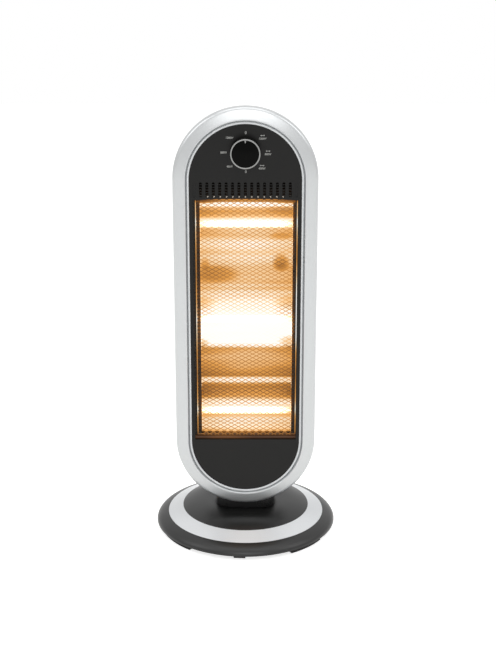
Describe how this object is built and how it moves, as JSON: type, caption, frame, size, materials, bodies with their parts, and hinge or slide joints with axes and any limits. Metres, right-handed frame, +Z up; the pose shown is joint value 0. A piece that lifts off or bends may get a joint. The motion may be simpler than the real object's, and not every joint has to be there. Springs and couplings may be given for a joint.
{
  "type": "halogen heater",
  "caption": "Upright pill-shaped radiant heater with halogen lamps behind a wire guard, a rotary switch, and a round domed base on which the head swings.",
  "frame": {"origin": "middle of the round base, on the floor that its feet stand on", "axes": "+Z up; the lamps face -Y; +X is to the right for someone who looks at the front"},
  "size_m": [0.28, 0.28, 0.6699],
  "materials": {
    "base_gloss": "moulded, satin gloss, near black",
    "silver_trim": "silver paint on moulded plastic, satin",
    "base_tray": "moulded, fine texture",
    "rubber_feet": "matte rubber",
    "ballast_iron": "as cast",
    "screw_steel": "zinc plated",
    "gland_nylon": "black nylon",
    "slide_acetal": "natural acetal, waxy",
    "motor_zinc": "zinc plated pressed steel",
    "switch_case": "black thermoset",
    "pad_black": "moulded, matte",
    "neck_black": "moulded, satin gloss, black",
    "rear_black": "moulded, fine spark texture",
    "panel_black": "heat resistant moulding, satin",
    "guard_black": "black heat resistant enamel",
    "guard_wire": "bright steel wire, heat browned",
    "chassis_steel": "galvanised sheet",
    "reflector_aluminium": "polished sheet",
    "quartz": "clear fused quartz, lit",
    "filament_tungsten": "glowing tungsten coil",
    "lamp_ceramic": "steatite, unglazed",
    "cutout_body": "phenolic",
    "terminal_nylon": "natural nylon",
    "switch_pbt": "cream moulding",
    "knob_black": "moulded, gloss black"
  },
  "bodies": {
    "base": {"base_plate": "base_tray", "base_cover": "base_gloss", "base_ring": "silver_trim", "foot_front_left": "rubber_feet", "foot_front_right": "rubber_feet", "foot_rear_left": "rubber_feet", "foot_rear_right": "rubber_feet", "ballast_ring": "ballast_iron", "base_screws": "screw_steel", "cord_gland": "gland_nylon", "slide_ring": "slide_acetal", "swing_motor": "motor_zinc", "motor_screws": "screw_steel", "tip_switch": "switch_case"},
    "tip_pad": {"tip_pad": "pad_black"},
    "crank": {"swing_crank": "slide_acetal"},
    "head": {"neck": "neck_black", "neck_screws": "screw_steel", "drive_lever": "motor_zinc", "lever_screws": "screw_steel", "rear_cover": "rear_black", "case_screws": "screw_steel", "bezel": "silver_trim", "front_panel": "panel_black", "panel_screws": "screw_steel", "guard_frame": "guard_black", "guard_mesh": "guard_wire", "chassis": "chassis_steel", "chassis_screws": "screw_steel", "reflector": "reflector_aluminium", "lamp_tube_bottom": "quartz", "lamp_tube_middle": "quartz", "lamp_tube_top": "quartz", "lamp_filament_bottom": "filament_tungsten", "lamp_filament_middle": "filament_tungsten", "lamp_filament_top": "filament_tungsten", "lamp_caps_bottom": "lamp_ceramic", "lamp_caps_middle": "lamp_ceramic", "lamp_caps_top": "lamp_ceramic", "thermal_cutout": "cutout_body", "terminal_block": "terminal_nylon", "switch_body": "switch_pbt", "switch_screws": "screw_steel"},
    "knob": {"switch_shaft": "switch_pbt", "knob": "knob_black", "knob_ring": "silver_trim", "knob_pointer": "silver_trim"}
  },
  "joints": [
    {"name": "head_swing", "type": "hinge", "parent": "base", "child": "head", "pos_m": [0, 0, 0.04], "axis": [0, 0, 1], "range_deg": [-35, 35]},
    {"name": "crank_turn", "type": "hinge", "parent": "base", "child": "crank", "pos_m": [0, 0.032, 0.026], "axis": [0, 0, 1], "range_deg": [-104, 104]},
    {"name": "knob_turn", "type": "hinge", "parent": "head", "child": "knob", "pos_m": [0, -0.06, 0.606], "axis": [0, -1, 0], "continuous": true},
    {"name": "tip_pad_slide", "type": "slide", "parent": "base", "child": "tip_pad", "axis": [0, 0, -1], "range_m": [0, 0.0034], "stiffness_N_per_m": 80, "springref_m": 0.008}
  ],
  "couplings": [
    {"joint": "crank_turn", "follows": "head_swing", "ratio": 2.95}
  ]
}
